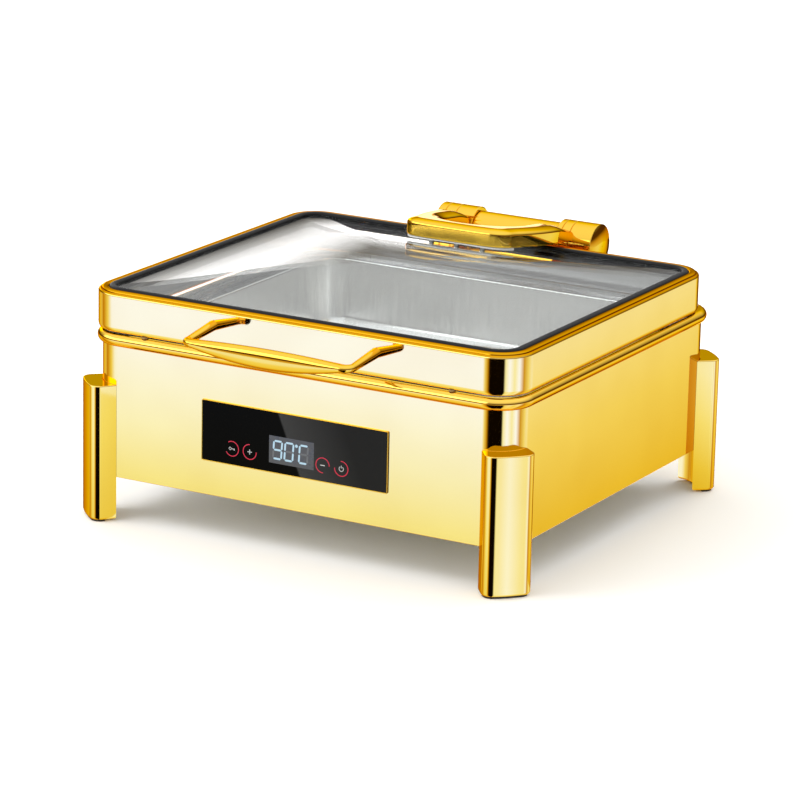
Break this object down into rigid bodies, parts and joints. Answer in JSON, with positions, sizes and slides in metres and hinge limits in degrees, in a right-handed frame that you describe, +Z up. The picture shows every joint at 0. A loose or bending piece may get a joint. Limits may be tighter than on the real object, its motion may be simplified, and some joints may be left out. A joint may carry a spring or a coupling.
{
  "type": "electric chafing dish",
  "caption": "Rectangular electric food warmer in gold steel with a touch panel, a water bath, a lift-out pan and a hinged glass lid on a rear arm.",
  "frame": {"origin": "middle of the footprint, at table level", "axes": "+X to the right as seen from the front, +Y to the back where the hinge is, +Z up"},
  "size_m": [0.4404, 0.4774, 0.2365],
  "materials": {
    "gold_steel": "gloss gold",
    "steel": "brushed",
    "zinc_steel": "zinc plated",
    "silicone_black": "satin",
    "rubber_black": "matt",
    "clear_glass": "polished",
    "panel_glass": "gloss",
    "black_plastic": "matt",
    "circuit_board": "satin",
    "aluminium": "rolled",
    "display_grey": "satin",
    "brass": "plain",
    "lead_grey": "matt"
  },
  "bodies": {
    "base": {"body_shell": "gold_steel", "rim_frame": "gold_steel", "hinge_bracket": "gold_steel", "panel_bezel": "gold_steel", "leg_front_left": "gold_steel", "leg_front_right": "gold_steel", "leg_rear_left": "gold_steel", "leg_rear_right": "gold_steel", "food_pan": "steel", "water_pan": "steel", "bottom_cover": "zinc_steel", "lid_bumpers": "silicone_black", "foot_pads": "rubber_black", "touch_panel": "panel_glass", "display_module": "display_grey", "control_board": "circuit_board", "power_board": "circuit_board", "control_housing": "black_plastic", "terminal_block": "black_plastic", "power_inlet": "black_plastic", "power_relay": "black_plastic", "transformer": "black_plastic", "touch_springs": "zinc_steel", "heating_plate": "aluminium", "heating_element": "steel", "element_clamps": "zinc_steel", "heat_shield": "zinc_steel", "heater_bridges": "zinc_steel", "temperature_sensor": "aluminium", "sensor_spring": "zinc_steel", "thermal_cutout": "black_plastic", "board_standoffs": "brass", "inlet_pins": "brass", "inlet_fasteners": "zinc_steel", "plate_fasteners": "zinc_steel", "bracket_screws": "zinc_steel", "cover_screws": "zinc_steel", "leg_screws": "zinc_steel", "board_screws": "zinc_steel", "clamp_screws": "zinc_steel", "backing_plate": "zinc_steel", "hinge_pin": "zinc_steel", "pin_washers": "zinc_steel", "ribbon_cable": "lead_grey", "power_leads": "lead_grey", "heater_leads": "lead_grey"},
    "lid": {"lid_frame": "gold_steel", "lid_seal": "silicone_black", "lid_glass": "clear_glass", "lid_handle": "gold_steel", "handle_screws": "zinc_steel", "hinge_arm": "gold_steel", "barrel_cap_left": "gold_steel", "barrel_cap_right": "gold_steel", "damper_left": "black_plastic", "damper_right": "black_plastic", "arm_gasket": "silicone_black", "clamp_gasket": "silicone_black", "clamp_plate": "zinc_steel", "arm_screws": "zinc_steel"}
  },
  "joints": [
    {"name": "lid_hinge", "type": "hinge", "parent": "base", "child": "lid", "pos_m": [0, 0.2185, 0.2005], "axis": [-1, 0, 0], "range_deg": [0, 90]}
  ]
}
